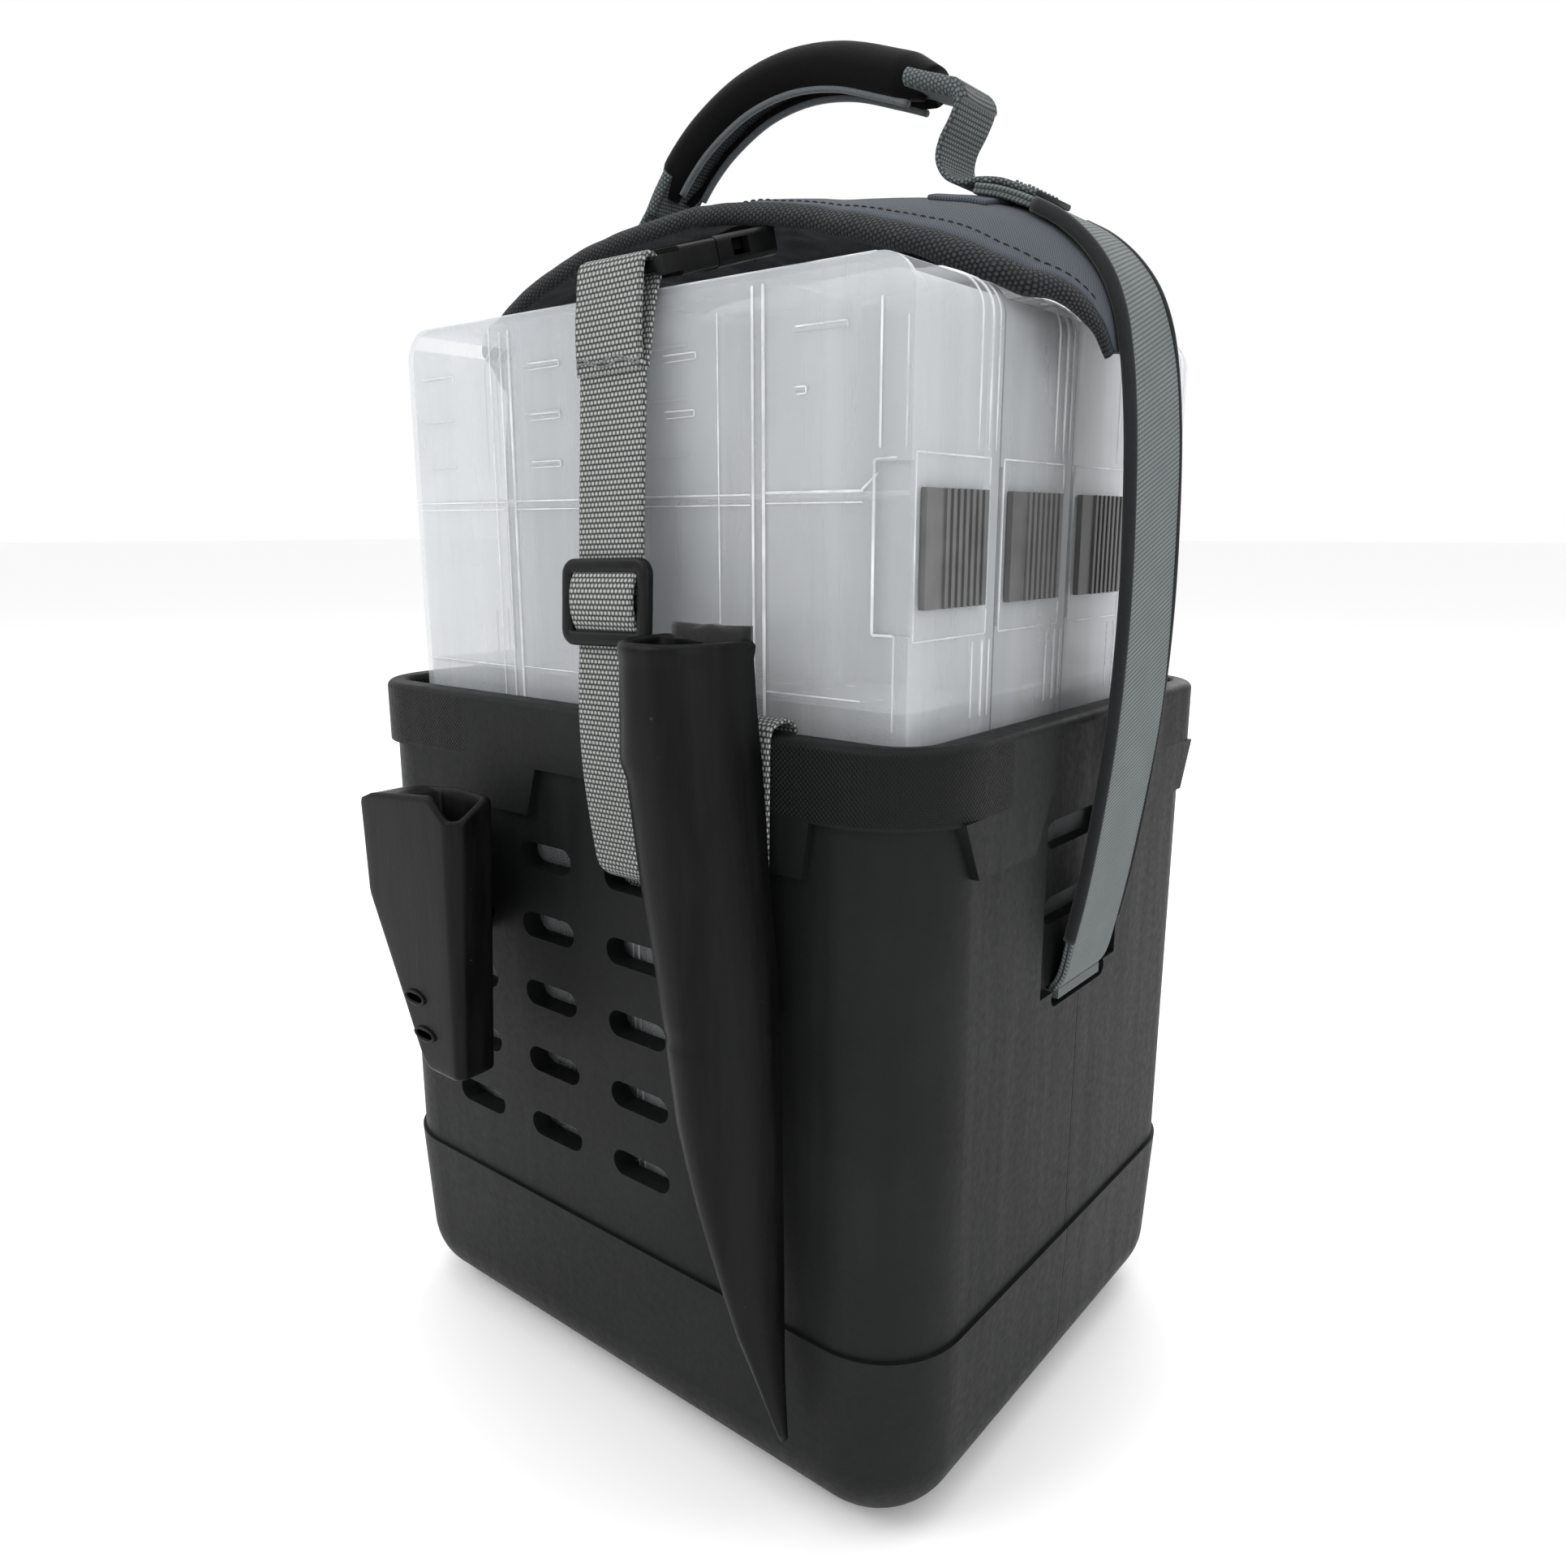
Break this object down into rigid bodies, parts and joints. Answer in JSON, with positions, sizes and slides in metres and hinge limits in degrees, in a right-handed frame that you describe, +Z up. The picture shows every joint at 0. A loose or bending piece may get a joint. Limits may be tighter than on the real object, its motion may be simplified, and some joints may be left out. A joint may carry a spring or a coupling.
{
  "type": "tackle backpack",
  "caption": "Backpack for fishing tackle: moulded foam bucket holding upright clear utility trays under a fabric hood with carry handle, buckled front strap and two tool holders.",
  "frame": {"origin": "centre of the bucket's flat underside, where the pack stands", "axes": "+Z up, +X to the right along the slotted front face, front face towards -Y, wearer's back towards +Y"},
  "size_m": [0.3128, 0.316, 0.5076],
  "materials": {
    "eva": "moulded foam, fine pebble",
    "tray_clear": "frosted translucent moulding",
    "latch_grey": "satin ribbed moulding",
    "webbing_light": "coarse flecked webbing",
    "webbing_grey": "ribbed webbing",
    "black_plastic": "satin acetal",
    "hood_fabric": "twill with dark lining",
    "binding": "basket weave binding",
    "neoprene": "jersey faced neoprene",
    "holder_black": "moulded, soft sheen",
    "pad_fabric": "air mesh"
  },
  "bodies": {
    "bucket": {"bucket_shell": "eva", "front_strap": "webbing_light", "buckle_male": "black_plastic", "holder_strap": "webbing_light", "back_panel": "pad_fabric", "shoulder_strap_right": "pad_fabric", "shoulder_strap_left": "pad_fabric", "shoulder_webbing_right": "webbing_grey", "shoulder_webbing_left": "webbing_grey", "ladder_lock_right": "black_plastic", "ladder_lock_left": "black_plastic", "side_strap_anchor_right": "webbing_grey", "side_strap_anchor_left": "webbing_grey", "plier_holder": "holder_black", "plier_clip": "holder_black", "tool_sheath": "holder_black", "sheath_clip": "holder_black", "tray_1_base": "tray_clear", "tray_1_lid": "tray_clear", "tray_1_dividers": "tray_clear", "tray_1_latch_lower": "latch_grey"},
    "hood": {"hood_cover": "hood_fabric", "hood_binding_front": "binding", "hood_binding_rear": "binding", "side_strap_right": "webbing_grey", "side_strap_left": "webbing_grey", "strap_tab_right": "hood_fabric", "strap_tab_left": "hood_fabric", "buckle_female": "black_plastic", "buckle_tab": "webbing_grey", "handle_tab_right": "webbing_grey", "handle_tab_left": "webbing_grey"},
    "handle": {"handle_webbing": "webbing_grey", "handle_grip": "neoprene", "handle_wrap_left": "webbing_grey", "handle_wrap_right": "webbing_grey"},
    "slider": {"triglide_slider": "black_plastic"},
    "tray_2": {"tray_2_base": "tray_clear", "tray_2_lid": "tray_clear", "tray_2_dividers": "tray_clear", "tray_2_latch_lower": "latch_grey"},
    "tray_3": {"tray_3_base": "tray_clear", "tray_3_lid": "tray_clear", "tray_3_dividers": "tray_clear", "tray_3_latch_lower": "latch_grey"},
    "tray_4": {"tray_4_base": "tray_clear", "tray_4_lid": "tray_clear", "tray_4_dividers": "tray_clear", "tray_4_latch_lower": "latch_grey"},
    "latch_1": {"tray_1_latch_upper": "latch_grey"},
    "latch_2": {"tray_2_latch_upper": "latch_grey"},
    "latch_3": {"tray_3_latch_upper": "latch_grey"},
    "latch_4": {"tray_4_latch_upper": "latch_grey"}
  },
  "joints": [
    {"name": "hood_tilt", "type": "hinge", "parent": "bucket", "child": "hood", "pos_m": [0, 0, 0.175], "axis": [-1, 0, 0], "range_deg": [0, 75]},
    {"name": "handle_swing", "type": "hinge", "parent": "hood", "child": "handle", "pos_m": [0, 0, 0.4576], "axis": [1, 0, 0], "range_deg": [-50, 50]},
    {"name": "slider_slide", "type": "slide", "parent": "bucket", "child": "slider", "axis": [-0.0284, 0.079, 0.9965], "range_m": [-0.01, 0.055]},
    {"name": "tray_2_lift", "type": "slide", "parent": "bucket", "child": "tray_2", "axis": [0, 0, 1], "range_m": [0, 0.008]},
    {"name": "tray_3_lift", "type": "slide", "parent": "bucket", "child": "tray_3", "axis": [0, 0, 1], "range_m": [0, 0.008]},
    {"name": "tray_4_lift", "type": "slide", "parent": "bucket", "child": "tray_4", "axis": [0, 0, 1], "range_m": [0, 0.3]},
    {"name": "latch_1_open", "type": "hinge", "parent": "bucket", "child": "latch_1", "pos_m": [0.12505, -0.0603, 0.3295], "axis": [0, 0, 1], "range_deg": [0, 100]},
    {"name": "latch_2_open", "type": "hinge", "parent": "tray_2", "child": "latch_2", "pos_m": [0.12505, -0.0102, 0.3295], "axis": [0, 0, 1], "range_deg": [0, 60]},
    {"name": "latch_3_open", "type": "hinge", "parent": "tray_3", "child": "latch_3", "pos_m": [0.12505, 0.0399, 0.3295], "axis": [0, 0, 1], "range_deg": [0, 42]},
    {"name": "latch_4_open", "type": "hinge", "parent": "tray_4", "child": "latch_4", "pos_m": [0.12505, 0.09, 0.3295], "axis": [0, 0, 1], "range_deg": [0, 100]}
  ]
}
